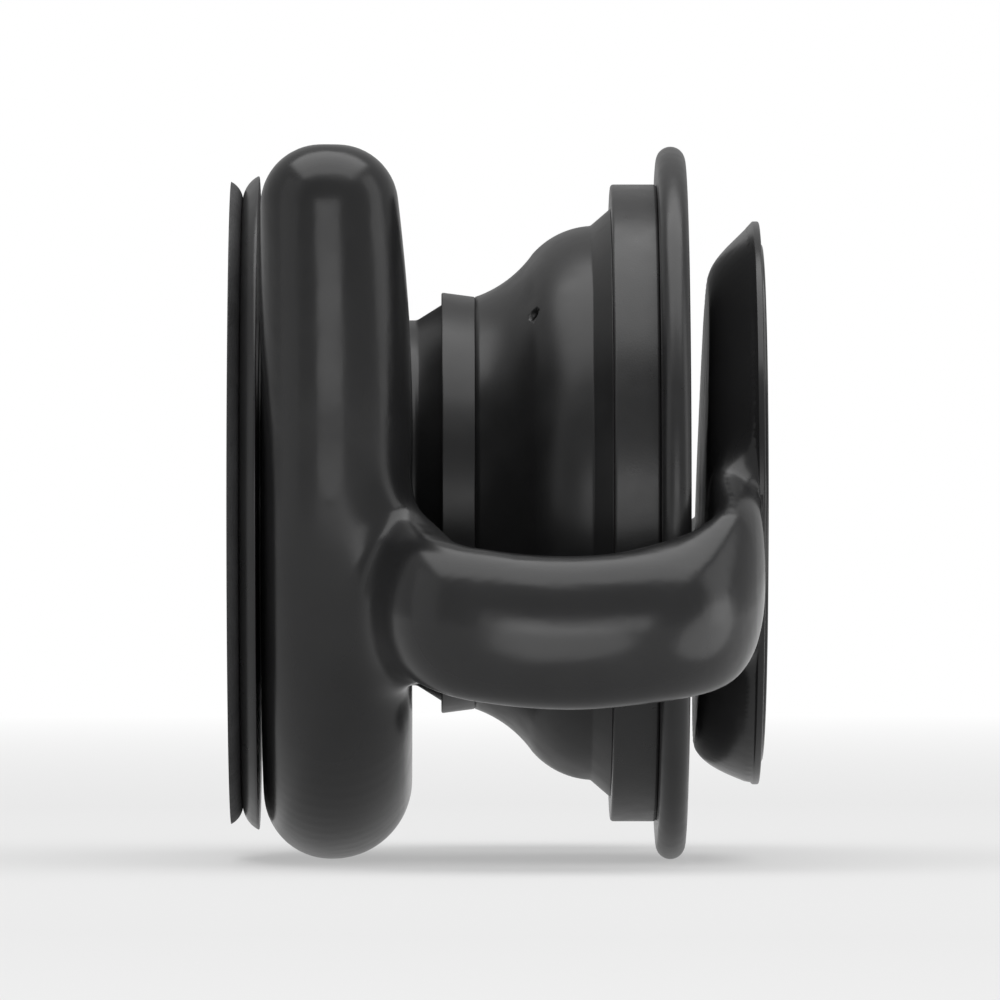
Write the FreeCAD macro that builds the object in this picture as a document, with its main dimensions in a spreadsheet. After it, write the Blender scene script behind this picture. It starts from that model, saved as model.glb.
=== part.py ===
import FreeCAD, Part
import math
import os
import Sketcher

# Adhesive mount: a soft one-piece frame stuck to a wall by a gel pad holds a collapsible
# stick-on grip by its neck. X runs out of the wall along the grip's axis, and Z is up
# through the cradle's open mouth. The wall is the plane X = 0. Sizes are in mm.

doc = FreeCAD.newDocument("adhesive_phone_mount")
sheet = doc.addObject("Spreadsheet::Sheet", "sizes")

SIZES = [
    # wall pad and the dish that carries it
    ("gel_pad_radius", "14.4"),
    ("gel_pad_thickness", "1.1"),
    ("gel_pad_proud", "0.2"),
    ("gel_pad_clearance", "0.1"),
    ("dish_rim_radius", "15.65"),
    ("dish_rim_edge", "0.35"),
    ("dish_depth", "3.6"),
    ("dish_back_radius", "13.0"),
    ("dish_back_drop", "0.5"),
    ("dish_lean", "1.7"),
    # button of the grip
    ("button_gap", "0.5"),
    ("button_radius", "19.8"),
    ("button_thickness", "1.6"),
    ("collar_wall", "0.9"),
    ("collar_length", "2.55"),
    ("collar_lip", "0.5"),
    ("collar_edge", "0.2"),
    ("bead_length", "1.0"),
    ("bead_step", "0.4"),
    ("spigot_wall", "1.2"),
    ("fit_clearance", "0.05"),
    # bellows of the grip
    ("bellows_wall", "1.1"),
    ("flare_length", "1.1"),
    ("flare_radius", "16.35"),
    ("cone_length", "6.4"),
    ("cone_wide_radius", "15.4"),
    ("cone_waist_share", "0.5"),
    ("cone_waist_radius", "13.85"),
    ("cone_foot_round", "6.5"),
    ("cone_head_round", "4.6"),
    ("ring_length", "1.87"),
    ("ring_radius", "11.7"),
    ("ring_taper", "0.25"),
    ("neck_radius", "10.15"),
    ("neck_flare_length", "1.35"),
    ("neck_flare_radius", "11.0"),
    ("foot_thickness", "1.2"),
    ("vent_radius", "0.35"),
    ("vent_angle", "48"),
    ("vent_tilt", "45"),
    # base of the grip
    ("plate_clearance", "0.25"),
    ("plate_thickness", "0.92"),
    ("plate_radius", "18.15"),
    ("plate_lip", "0.08"),
    ("plate_round", "1.6"),
    ("plate_groove", "1.25"),
    ("hub_radius", "6.0"),
    ("hub_lip", "0.7"),
    ("hub_lip_length", "0.9"),
    ("phone_pad_thickness", "0.65"),
    ("phone_pad_inset", "0.3"),
    ("phone_pad_round", "1.2"),
    # cradle that takes the neck
    ("cradle_gap", "1.62"),
    ("cradle_thickness", "8.23"),
    ("cradle_over_button", "0.1"),
    ("cradle_front_round", "3.7"),
    ("cradle_back_round", "4.4"),
    ("seat_clearance", "0.3"),
    ("seat_rise", "0.12"),
    ("prong_under_button", "0.42"),
    ("prong_taper", "1.15"),
    ("prong_tip_corner", "3.45"),
    ("prong_waist_share", "0.48"),
    ("prong_waist_taper", "0.12"),
    ("prong_tip_inset", "0.57"),
    ("mouth_lip", "0.45"),
    ("prong_round", "3.3"),
    # arms that join the cradle to the dish
    ("arm_half_thickness", "3.0"),
    ("arm_half_height", "4.13"),
    ("arm_clearance", "0.7"),
    ("arm_corner", "3.6"),
    ("arm_bend", "5.33"),
    ("arm_overhang", "2.1"),
    ("arm_root_drop", "5.4"),
    ("arm_root_inset", "0.8"),
    ("arm_root_share", "0.42"),
    ("arm_root_swell", "1.3"),
    ("arm_sag", "1.53"),
    ("arm_dish_drop", "3.5"),
    ("strap_margin", "0.1"),
    ("strap_overlap", "2.6"),
]

for row, (alias, number) in enumerate(SIZES, start=1):
    sheet.set("A%d" % row, alias)
    sheet.set("B%d" % row, number)
    sheet.setAlias("B%d" % row, alias)
doc.recompute()


def value(expression):
    return float(sheet.evalExpression(expression))


# stations along the X axis, each counted from the one before it
RIM_X = "sizes.gel_pad_proud"
DISH_BACK_X = RIM_X + " + sizes.dish_depth"
BUTTON_FACE_X = DISH_BACK_X + " + sizes.button_gap"
BUTTON_BACK_X = BUTTON_FACE_X + " + sizes.button_thickness"
COLLAR_END_X = BUTTON_BACK_X + " + sizes.collar_length"
LIP_X = COLLAR_END_X + " - sizes.collar_lip"
BEAD_X = LIP_X + " - sizes.bead_length"
CONE_START_X = COLLAR_END_X + " + sizes.flare_length"
CONE_WAIST_X = CONE_START_X + " + sizes.cone_length * sizes.cone_waist_share"
CONE_END_X = CONE_START_X + " + sizes.cone_length"
RING_END_X = CONE_END_X + " + sizes.ring_length"
NECK_X = RING_END_X + " + sizes.neck_flare_length"
CRADLE_BACK_X = RING_END_X + " + sizes.cradle_gap"
CRADLE_FRONT_X = CRADLE_BACK_X + " + sizes.cradle_thickness"
PLATE_FACE_X = CRADLE_FRONT_X + " + sizes.plate_clearance"
PLATE_BACK_X = PLATE_FACE_X + " + sizes.plate_thickness"
PHONE_FACE_X = PLATE_BACK_X + " + sizes.phone_pad_thickness"
FOOT_X = PLATE_FACE_X + " - sizes.foot_thickness"


def between(first, second, share):
    return "(%s) + ((%s) - (%s)) * %s" % (first, second, first, share)


def origin_plane(body, role):
    return [part for part in body.Origin.OriginFeatures if part.Role == role][0]


def outline(body, name, role, corners, lift=None):
    """A closed sketch: each corner is (x, y) or (x, y, radius, side), where the last two
    turn the line to the next corner into an arc whose centre lies on that side."""
    sketch = body.newObject("Sketcher::SketchObject", name)
    sketch.AttachmentSupport = (origin_plane(body, role), [""])
    sketch.MapMode = "FlatFace"
    if lift is not None:
        sketch.setExpression("AttachmentOffset.Base.z", lift)
    places = [FreeCAD.Vector(value(corner[0]), value(corner[1]), 0) for corner in corners]
    count = len(corners)
    ends = []
    for number, corner in enumerate(corners):
        start = places[number]
        stop = places[(number + 1) % count]
        if len(corner) == 2:
            edge = sketch.addGeometry(Part.LineSegment(start, stop), False)
            ends.append((edge, 1, 2))
            continue
        radius = value(corner[2])
        chord = stop - start
        reach = math.sqrt(max(radius ** 2 - (chord.Length / 2) ** 2, 0))
        left = FreeCAD.Vector(-chord.y, chord.x, 0).normalize()
        turn = 1 if corner[3] == "left" else -1
        centre = (start + stop) * 0.5 + left * (reach * turn)
        first, last = (start, stop) if turn == 1 else (stop, start)
        begin = math.atan2(first.y - centre.y, first.x - centre.x)
        finish = math.atan2(last.y - centre.y, last.x - centre.x)
        if finish < begin:
            finish += 2 * math.pi
        circle = Part.Circle(centre, FreeCAD.Vector(0, 0, 1), radius)
        edge = sketch.addGeometry(Part.ArcOfCircle(circle, begin, finish), False)
        ends.append((edge, 1, 2) if turn == 1 else (edge, 2, 1))
        limit = sketch.addConstraint(Sketcher.Constraint("Radius", edge, radius))
        sketch.setExpression("Constraints[%d]" % limit, corner[2])
    for number, corner in enumerate(corners):
        edge, head, tail = ends[number]
        after, after_head, after_tail = ends[(number + 1) % count]
        sketch.addConstraint(Sketcher.Constraint("Coincident", edge, tail, after, after_head))
        for kind, expression, axis in (("DistanceX", corner[0], -2), ("DistanceY", corner[1], -1)):
            size = value(expression)
            if expression == "0":
                sketch.addConstraint(Sketcher.Constraint("PointOnObject", edge, head, axis))
                continue
            held = Sketcher.Constraint(kind, -1, 1, edge, head, size)
            place = sketch.addConstraint(held)
            sketch.setExpression("Constraints[%d]" % place, expression)
    return sketch


def turned(name, corners):
    """A body of revolution about the X axis from an outline of (x, radius) corners."""
    body = doc.addObject("PartDesign::Body", name)
    sketch = outline(body, name + "_outline", "XZ_Plane", corners)
    turn = body.newObject("PartDesign::Revolution", name + "_turn")
    turn.Profile = sketch
    turn.ReferenceAxis = (sketch, ["H_Axis"])
    turn.Angle = 360
    body.Tip = turn
    return body


# gel pad: a plain disc that stands slightly proud of the dish's rim
wall_gel_pad = turned("wall_gel_pad", [
    ("0", "0"),
    ("sizes.gel_pad_thickness", "0"),
    ("sizes.gel_pad_thickness", "sizes.gel_pad_radius"),
    ("0", "sizes.gel_pad_radius"),
])

# dish: a thin rim with a shallow dome behind it, whose back lies a little low and leans so that
# its upper edge keeps away from the button
RECESS_RADIUS = "sizes.gel_pad_radius + sizes.gel_pad_clearance"
DOME_X = RIM_X + " + sizes.dish_rim_edge"
DISH_MIDDLE_X = DISH_BACK_X + " - sizes.dish_back_radius * tan(sizes.dish_lean)"
out_of_wall = FreeCAD.Rotation(FreeCAD.Vector(0, 1, 0), 90)
rim = doc.addObject("Part::Cylinder", "dish_rim")
rim.Placement.Rotation = out_of_wall
rim.setExpression("Radius", "sizes.dish_rim_radius")
rim.setExpression("Height", "sizes.dish_rim_edge")
rim.setExpression("Placement.Base.x", RIM_X)
# each circle of the dome is its share of the depth, of the narrowing and of the lean
dome_circles = []
for depth, narrow, lean in ((0, 0, 0), (0.36, 0.26, 0.4), (0.7, 0.53, 0.7), (1, 1, 1)):
    circle = doc.addObject("Part::Circle", "dome_circle_%d" % (len(dome_circles) + 1))
    circle.Placement.Rotation = out_of_wall
    circle.setExpression("Radius", between("sizes.dish_rim_radius", "sizes.dish_back_radius", narrow))
    circle.setExpression("Placement.Base.x", between(DOME_X, DISH_MIDDLE_X, depth))
    circle.setExpression("Placement.Base.z", "-sizes.dish_back_drop * %s" % lean)
    circle.setExpression("Placement.Rotation.Angle", "90 - sizes.dish_lean * %s" % lean)
    dome_circles.append(circle)
dome = doc.addObject("Part::Loft", "dish_dome")
dome.Sections = dome_circles
dome.Solid = True
dome.Ruled = False

# button disc: full round rim, flat outer face and a spigot ring that clamps the bellows bead
RIM_ROUND = "sizes.button_thickness / 2"
RIM_FLAT = "sizes.button_radius - sizes.button_thickness / 2"
BEAD_RADIUS = "sizes.flare_radius + sizes.bead_step"
SPIGOT_OUT = BEAD_RADIUS + " - sizes.fit_clearance"
SPIGOT_IN = SPIGOT_OUT + " - sizes.spigot_wall"
SPIGOT_X = BEAD_X + " - sizes.fit_clearance"
button_disc = turned("button_disc", [
    (BUTTON_FACE_X, "0"),
    (BUTTON_BACK_X, "0"),
    (BUTTON_BACK_X, SPIGOT_IN),
    (SPIGOT_X, SPIGOT_IN),
    (SPIGOT_X, SPIGOT_OUT),
    (BUTTON_BACK_X, SPIGOT_OUT),
    (BUTTON_BACK_X, RIM_FLAT, RIM_ROUND, "left"),
    (BUTTON_FACE_X + " + sizes.button_thickness / 2", "sizes.button_radius", RIM_ROUND, "left"),
    (BUTTON_FACE_X, RIM_FLAT),
])

# button collar: a ring whose lip hooks behind the bellows bead
COLLAR_IN = BEAD_RADIUS + " + sizes.fit_clearance"
COLLAR_OUT = COLLAR_IN + " + sizes.collar_wall"
COLLAR_EDGE_R = COLLAR_OUT + " - sizes.collar_edge"
LIP_IN = "sizes.flare_radius + sizes.fit_clearance"
button_collar = turned("button_collar", [
    (BUTTON_BACK_X, COLLAR_IN),
    (LIP_X + " + sizes.fit_clearance", COLLAR_IN),
    (LIP_X + " + sizes.fit_clearance", LIP_IN),
    (COLLAR_END_X, LIP_IN),
    (COLLAR_END_X, COLLAR_EDGE_R, "sizes.collar_edge", "left"),
    (COLLAR_END_X + " - sizes.collar_edge", COLLAR_OUT),
    (BUTTON_BACK_X + " + sizes.collar_edge", COLLAR_OUT, "sizes.collar_edge", "left"),
    (BUTTON_BACK_X, COLLAR_EDGE_R),
])

# bellows: one thin moulding with a bead, a flare, an S shaped cone, a ring and a neck
CONE_FOOT_R = "sizes.ring_radius - sizes.ring_taper"
WALL = " - sizes.bellows_wall"
bellows = turned("bellows", [
    (PLATE_FACE_X, "sizes.hub_radius"),
    (PLATE_FACE_X, "sizes.neck_radius"),
    (NECK_X, "sizes.neck_radius"),
    (RING_END_X, "sizes.neck_flare_radius"),
    (RING_END_X, "sizes.ring_radius"),
    (CONE_END_X, CONE_FOOT_R, "sizes.cone_foot_round", "right"),
    (CONE_WAIST_X, "sizes.cone_waist_radius", "sizes.cone_head_round", "left"),
    (CONE_START_X, "sizes.cone_wide_radius"),
    (COLLAR_END_X, "sizes.flare_radius"),
    (LIP_X, "sizes.flare_radius"),
    (LIP_X, BEAD_RADIUS),
    (BEAD_X, BEAD_RADIUS),
    (BEAD_X, "sizes.cone_wide_radius" + WALL),
    (CONE_START_X, "sizes.cone_wide_radius" + WALL, "sizes.cone_head_round", "right"),
    (CONE_WAIST_X, "sizes.cone_waist_radius" + WALL, "sizes.cone_foot_round", "left"),
    (CONE_END_X, CONE_FOOT_R + WALL),
    (RING_END_X, CONE_FOOT_R + WALL),
    (NECK_X, "sizes.neck_radius" + WALL),
    (FOOT_X, "sizes.neck_radius" + WALL),
    (FOOT_X, "sizes.hub_radius"),
])
vent = bellows.newObject("PartDesign::SubtractiveCylinder", "vent")
VENT_START_R = "(sizes.cone_waist_radius - sizes.bellows_wall * 2)"
around = math.radians(value("sizes.vent_angle"))
tilt = math.tan(math.radians(value("sizes.vent_tilt")))
vent_way = FreeCAD.Vector(tilt, math.cos(around), math.sin(around))
vent.Placement.Rotation = FreeCAD.Rotation(FreeCAD.Vector(0, 0, 1), vent_way)
vent.setExpression("Radius", "sizes.vent_radius")
vent.setExpression("Height", "sizes.bellows_wall * 5")
VENT_START_X = CONE_WAIST_X + " - sizes.bellows_wall * 2 * tan(sizes.vent_tilt)"
vent.setExpression("Placement.Base.x", VENT_START_X)
vent.setExpression("Placement.Base.y", VENT_START_R + " * cos(sizes.vent_angle)")
vent.setExpression("Placement.Base.z", VENT_START_R + " * sin(sizes.vent_angle)")
bellows.Tip = vent

# base of the grip: a thin flared plate with a hub that the bellows foot is stretched over
GROOVE_RADIUS = "sizes.plate_radius - sizes.plate_groove"
HUB_LIP_R = "sizes.hub_radius + sizes.hub_lip"
HUB_END_X = FOOT_X + " - sizes.hub_lip_length"
grip_base = turned("grip_base", [
    (PLATE_BACK_X, "0"),
    (PLATE_BACK_X, GROOVE_RADIUS, "sizes.plate_round", "left"),
    (PLATE_FACE_X + " + sizes.plate_lip", "sizes.plate_radius"),
    (PLATE_FACE_X, "sizes.plate_radius"),
    (PLATE_FACE_X, "sizes.hub_radius"),
    (FOOT_X, "sizes.hub_radius"),
    (FOOT_X, HUB_LIP_R),
    (HUB_END_X, "sizes.hub_radius"),
    (HUB_END_X, "0"),
])

# adhesive pad: a thin disc on the outer face of the grip's base
PHONE_PAD_RADIUS = "sizes.plate_radius - sizes.phone_pad_inset"
phone_adhesive_pad = turned("phone_adhesive_pad", [
    (PLATE_BACK_X, "0"),
    (PHONE_FACE_X, "0"),
    (PHONE_FACE_X, PHONE_PAD_RADIUS, "sizes.phone_pad_round", "left"),
    (PLATE_BACK_X, GROOVE_RADIUS),
])

# cradle: the lower half is a ring of a rounded section, the prongs rise from its two ends, and
# both stand level with the button's rim
SEAT_RADIUS = "sizes.neck_radius + sizes.seat_clearance"
OUTER_RADIUS = "sizes.button_radius + sizes.cradle_over_button"
PRONG_TOP = "(sizes.button_radius - sizes.prong_under_button)"


def rounded_section(back, front, inner, outer, tight, wide):
    """Corners of a section with one rounding in front and another behind, towards the wall."""
    return [
        (back, inner + " + " + wide, wide, "left"),
        (back + " + " + wide, inner),
        (front + " - " + tight, inner, tight, "left"),
        (front, inner + " + " + tight),
        (front, outer + " - " + tight, tight, "left"),
        (front + " - " + tight, outer),
        (back + " + " + wide, outer, wide, "left"),
        (back, outer + " - " + wide),
    ]


# each rounding stays within the thickness and the depth of the bar that it is on
BAR_DEPTH = "(%s - (%s))" % (OUTER_RADIUS, SEAT_RADIUS)
FRONT_ROUND = "min(sizes.cradle_front_round; sizes.cradle_thickness * 0.45; %s * 0.49)" % BAR_DEPTH
BACK_ROUND = "min(sizes.cradle_back_round; sizes.cradle_thickness * 0.54; %s * 0.49)" % BAR_DEPTH
TIP_THICKNESS = "(sizes.cradle_thickness - sizes.prong_taper)"
TIP_DEPTH = "(%s - sizes.prong_tip_inset)" % BAR_DEPTH
TIP_CORNER = "min(sizes.prong_tip_corner; %s * 0.49; %s * 0.49)" % (TIP_THICKNESS, TIP_DEPTH)
TIP_ROUND = "min(sizes.prong_round; %s * 0.96)" % TIP_CORNER
cradle = doc.addObject("PartDesign::Body", "cradle")
cradle.setExpression("Placement.Base.z", "sizes.seat_rise")
ring_section = outline(cradle, "ring_section", "XY_Plane", rounded_section(
    CRADLE_BACK_X, CRADLE_FRONT_X, SEAT_RADIUS, OUTER_RADIUS, FRONT_ROUND, BACK_ROUND))
lower_ring = cradle.newObject("PartDesign::Revolution", "lower_ring")
lower_ring.Profile = ring_section
lower_ring.ReferenceAxis = (ring_section, ["H_Axis"])
lower_ring.Angle = 180
lower_ring.Reversed = True
prong_sections = [
    outline(cradle, "prong_foot", "XY_Plane", rounded_section(
        CRADLE_BACK_X, CRADLE_FRONT_X, SEAT_RADIUS, OUTER_RADIUS, FRONT_ROUND, BACK_ROUND)),
    outline(cradle, "prong_waist", "XY_Plane", rounded_section(
        CRADLE_BACK_X + " + sizes.prong_waist_taper", CRADLE_FRONT_X,
        SEAT_RADIUS + " - sizes.mouth_lip", OUTER_RADIUS, FRONT_ROUND, BACK_ROUND),
        PRONG_TOP + " * sizes.prong_waist_share"),
    outline(cradle, "prong_tip", "XY_Plane", rounded_section(
        CRADLE_BACK_X + " + sizes.prong_taper", CRADLE_FRONT_X,
        SEAT_RADIUS, OUTER_RADIUS + " - sizes.prong_tip_inset", TIP_CORNER, TIP_CORNER),
        PRONG_TOP),
]
prong = cradle.newObject("PartDesign::AdditiveLoft", "prong")
prong.Profile = prong_sections[0]
prong.Sections = prong_sections[1:]
cradle.Tip = prong
doc.recompute()
both_prongs = cradle.newObject("PartDesign::Mirrored", "both_prongs")
both_prongs.Originals = [prong]
both_prongs.MirrorPlane = (origin_plane(cradle, "XZ_Plane"), [""])
cradle.Tip = both_prongs
doc.recompute()
top = value(PRONG_TOP)
tip_edges = []
for number, edge in enumerate(both_prongs.Shape.Edges, start=1):
    if edge.BoundBox.ZMin > top - 0.001:
        tip_edges.append("Edge%d" % number)
prong_tips = cradle.newObject("PartDesign::Fillet", "prong_tips")
prong_tips.Base = (both_prongs, tip_edges)
prong_tips.setExpression("Radius", TIP_ROUND)
cradle.Tip = prong_tips
doc.recompute()

# arms: each leaves the cradle's flank, turns along the button and outside it as a rounded
# bar that sags a little, and thins to a strap that runs into the dish
RING_CENTRE_R = "(%s + %s) / 2" % (SEAT_RADIUS, OUTER_RADIUS)
ROOT_DROP = "(sizes.arm_root_drop + sizes.seat_rise)"
ROOT_X = CRADLE_BACK_X + " + sizes.cradle_thickness * sizes.arm_root_share"
ROOT_Y = "sqrt((%s)^2 - %s^2) - sizes.arm_root_inset" % (RING_CENTRE_R, ROOT_DROP)
LEG_X = CRADLE_BACK_X + " + sizes.arm_overhang - sizes.arm_half_thickness"
REACH_Y = "sizes.button_radius + sizes.arm_clearance + sizes.arm_half_thickness"
LEG_Y = REACH_Y + " - sizes.arm_corner"
STRAP_X = "((%s) + (%s)) / 2" % (RIM_X, DISH_MIDDLE_X)
STRAP_HALF = "((%s) - (%s)) / 2 - sizes.strap_margin" % (DISH_MIDDLE_X, RIM_X)
STRAP_Y = "sizes.dish_back_radius - sizes.strap_overlap"
BEND_Y = REACH_Y + " - sizes.arm_bend"
MIDDLE_X = "((%s) + %s) / 2" % (LEG_X, STRAP_X)
BAR = "sizes.arm_half_thickness"
TALL = "sizes.arm_half_height"
ROOT = "sizes.arm_root_drop"
END = "sizes.arm_dish_drop"

# each station is x, y, depth below the axis, half thickness and half height of the bar; the
# shares in it say how far along a turn, a sag or a swell the station lies
LOW = ROOT + " + sizes.arm_sag"
SWELL = " + sizes.arm_root_swell"
CORNER = " - sizes.arm_corner"
stations = [
    # out of the cradle's flank
    (ROOT_X, ROOT_Y, ROOT, BAR + " * 0.8", TALL + SWELL),
    (between(LEG_X, ROOT_X, 0.54), between(LEG_Y, ROOT_Y, 0.67), ROOT,
     BAR + " * 0.93", TALL + SWELL + " * 0.65"),
    (between(LEG_X, ROOT_X, 0.17), between(LEG_Y, ROOT_Y, 0.33), ROOT, BAR, TALL + SWELL + " * 0.25"),
    # round the corner beside the button
    (LEG_X, LEG_Y, between(ROOT, LOW, 0.2), BAR, TALL),
    (LEG_X + CORNER + " * 0.29", REACH_Y + CORNER + " * 0.29", between(ROOT, LOW, 0.5), BAR, TALL),
    (LEG_X + CORNER, REACH_Y, between(ROOT, LOW, 0.82), BAR, TALL),
    # along the side
    (MIDDLE_X, REACH_Y, LOW, BAR, TALL),
    (STRAP_X + " + sizes.arm_corner * 1.75", REACH_Y + CORNER + " * 0.03",
     between(ROOT, LOW, 0.9), BAR, TALL),
    # round the second corner, where the bar thins to a strap
    (STRAP_X + " + sizes.arm_corner * 0.8", REACH_Y + CORNER + " * 0.27",
     between(ROOT, LOW, 0.6), BAR + " * 0.92", TALL),
    (STRAP_X + " + sizes.arm_corner * 0.22", REACH_Y + CORNER + " * 0.78",
     between(END, LOW, 0.62), between(STRAP_HALF, BAR, 0.22), TALL),
    # into the dish
    (STRAP_X, BEND_Y, between(END, LOW, 0.35), STRAP_HALF, TALL),
    (STRAP_X, between(STRAP_Y, BEND_Y, 0.67), between(END, LOW, 0.16), STRAP_HALF,
     TALL + SWELL + " * 0.4"),
    (STRAP_X, between(STRAP_Y, BEND_Y, 0.33), between(END, LOW, 0.04), STRAP_HALF,
     TALL + SWELL + " * 0.66"),
    (STRAP_X, STRAP_Y, END, STRAP_HALF, TALL + SWELL + " * 0.75"),
]
upright = FreeCAD.Vector(0, 0, 1)
path = [FreeCAD.Vector(value(x), value(y), 0) for x, y, drop, half, tall in stations]
arm_sections = []
for number, (x, y, drop, half, tall) in enumerate(stations):
    behind = path[max(number - 1, 0)]
    ahead = path[min(number + 1, len(path) - 1)]
    along = (ahead - behind).normalize()
    section = doc.addObject("Part::Ellipse", "arm_section_%d" % (number + 1))
    section.Placement.Rotation = FreeCAD.Rotation(upright, along.cross(upright), along, "ZXY")
    section.setExpression("MajorRadius", tall)
    section.setExpression("MinorRadius", half)
    section.setExpression("Placement.Base.x", x)
    section.setExpression("Placement.Base.y", y)
    section.setExpression("Placement.Base.z", "-(%s)" % drop)
    arm_sections.append(section)
near_arm = doc.addObject("Part::Loft", "near_arm")
near_arm.Sections = arm_sections
near_arm.Solid = True
near_arm.Ruled = False
far_arm = doc.addObject("Part::Mirroring", "far_arm")
far_arm.Source = near_arm
far_arm.Normal = FreeCAD.Vector(0, 1, 0)

# the frame is one moulding: cradle, two arms and dish, cut level with the dish's rim and
# hollowed for the gel pad
blank = doc.addObject("Part::MultiFuse", "frame_blank")
blank.Shapes = [cradle, near_arm, far_arm, dome, rim]
blank.Refine = True
wall_side = doc.addObject("Part::Cylinder", "wall_side")
wall_side.setExpression("Radius", "sizes.button_radius * 2")
wall_side.setExpression("Height", "sizes.dish_depth + " + RIM_X)
wall_side.setExpression("Placement.Base.x", "-sizes.dish_depth")
wall_side.Placement.Rotation = out_of_wall
recess = doc.addObject("Part::Cylinder", "recess")
recess.setExpression("Radius", RECESS_RADIUS)
recess.setExpression("Height", "sizes.dish_depth + sizes.gel_pad_thickness")
recess.setExpression("Placement.Base.x", "-sizes.dish_depth")
recess.Placement.Rotation = out_of_wall
waste = doc.addObject("Part::MultiFuse", "waste")
waste.Shapes = [wall_side, recess]
mount_frame = doc.addObject("Part::Cut", "mount_frame")
mount_frame.Base = blank
mount_frame.Tool = waste
mount_frame.Refine = True
doc.recompute()

PIECES = [
    mount_frame,
    wall_gel_pad,
    phone_adhesive_pad,
    grip_base,
    bellows,
    button_collar,
    button_disc,
]
faults = [item.Name for item in doc.Objects if "Invalid" in item.State or "Error" in item.State]
if faults:
    raise SystemExit("objects that did not build: %s" % ", ".join(faults))
os.makedirs("parts", exist_ok=True)
for piece in PIECES:
    if piece.Shape.isNull() or not piece.Shape.isValid() or len(piece.Shape.Solids) != 1:
        raise SystemExit("bad solid: %s" % piece.Label)
    piece.Shape.exportStep("parts/%s.step" % piece.Label)
    box = piece.Shape.optimalBoundingBox(True, False)
    print("%-20s %8.1f mm3  x %.2f..%.2f  y %.2f..%.2f  z %.2f..%.2f" % (
        piece.Label, piece.Shape.Volume, box.XMin, box.XMax, box.YMin, box.YMax, box.ZMin, box.ZMax))
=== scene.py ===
# %% [markdown]
# # An adhesive mount with a folding grip
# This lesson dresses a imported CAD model. The object is a soft black frame that sticks to a wall
# and holds a folding grip by its neck. The CAD model gives every size and every place, so the
# script reads it first and never moves it. Blender adds rounded edges, one flowing skin over the
# soft frame and the finish of each material. All lengths below are in millimetres until they
# reach a mesh, a light or the camera, which take metres. A power is in watts.

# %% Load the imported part
import math

import bmesh
import bpy
import numpy as np
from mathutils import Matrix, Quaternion, Vector


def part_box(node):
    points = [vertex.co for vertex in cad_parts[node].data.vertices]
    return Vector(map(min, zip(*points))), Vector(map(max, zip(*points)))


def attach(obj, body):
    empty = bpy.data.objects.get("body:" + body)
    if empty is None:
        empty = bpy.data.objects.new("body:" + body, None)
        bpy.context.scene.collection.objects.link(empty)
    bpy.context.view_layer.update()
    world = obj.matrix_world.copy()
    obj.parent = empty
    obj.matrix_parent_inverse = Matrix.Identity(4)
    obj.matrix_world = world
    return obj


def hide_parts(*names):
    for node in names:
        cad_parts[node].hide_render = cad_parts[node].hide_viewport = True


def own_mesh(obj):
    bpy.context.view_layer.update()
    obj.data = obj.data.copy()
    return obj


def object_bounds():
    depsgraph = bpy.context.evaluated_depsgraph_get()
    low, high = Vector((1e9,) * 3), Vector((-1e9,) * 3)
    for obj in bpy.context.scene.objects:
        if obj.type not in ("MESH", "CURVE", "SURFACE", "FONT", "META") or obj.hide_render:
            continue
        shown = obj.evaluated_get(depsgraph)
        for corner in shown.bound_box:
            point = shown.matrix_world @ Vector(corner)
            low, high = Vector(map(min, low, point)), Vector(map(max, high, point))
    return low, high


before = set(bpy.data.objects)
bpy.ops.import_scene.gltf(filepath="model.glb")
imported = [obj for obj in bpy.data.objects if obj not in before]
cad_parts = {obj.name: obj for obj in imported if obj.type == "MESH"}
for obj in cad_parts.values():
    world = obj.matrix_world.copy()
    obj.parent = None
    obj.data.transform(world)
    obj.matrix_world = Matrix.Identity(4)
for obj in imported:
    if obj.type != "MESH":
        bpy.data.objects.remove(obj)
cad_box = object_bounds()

MM = 0.001
scene = bpy.context.scene
print("nodes:", sorted(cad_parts))
print("size in mm:", [round(side / MM, 2) for side in cad_box[1] - cad_box[0]])

# %% [markdown]
# ## The camera
# The picture is a level side view. The camera stands where the photograph's camera stood, far
# back on the +Y side, so near and far parts keep their relative sizes. A long lens fills the
# frame from that place. Moving closer would also fill it, but would change the perspective.

# %% Set up the camera
CAMERA_PLACE = Vector((18.61, 690.0, 1.25))
AIM = Vector((14.56, 0.0, 0.16))
FRAME_WIDTH = 55.6
SENSOR_WIDTH = 36.0
NEAREST_SEEN = 10.0

camera_data = bpy.data.cameras.new("camera")
camera_data.sensor_width = SENSOR_WIDTH
camera_data.lens = SENSOR_WIDTH * CAMERA_PLACE.y / FRAME_WIDTH
camera_data.clip_start = NEAREST_SEEN * MM
camera = bpy.data.objects.new("camera", camera_data)
camera.location = CAMERA_PLACE * MM
camera.rotation_mode = "QUATERNION"
camera.rotation_quaternion = (AIM - CAMERA_PLACE).to_track_quat("-Z", "Y")
scene.collection.objects.link(camera)
scene.camera = camera
scene.view_settings.view_transform = "Standard"
print("lens: %.0f mm" % camera_data.lens)

# %% [markdown]
# ## The floor and the white surroundings
# Black satin plastic shows little colour of its own. What the eye reads is the reflection of a
# bright room, so the room is part of the finish. The floor is a plain pale sheet under the part.
# A grey sheet alone would need strong lamps to look white, and those would wash out the black. So
# the sheet also glows a little. Close by it takes a soft shadow, and further out it glows as white
# as the background, so no horizon shows. The background lights the part only weakly.

# %% Make the white surroundings
WHITE = (1.0, 1.0, 1.0, 1.0)
BACKGROUND_WHITE = 1.0
AMBIENT = 0.46


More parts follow.
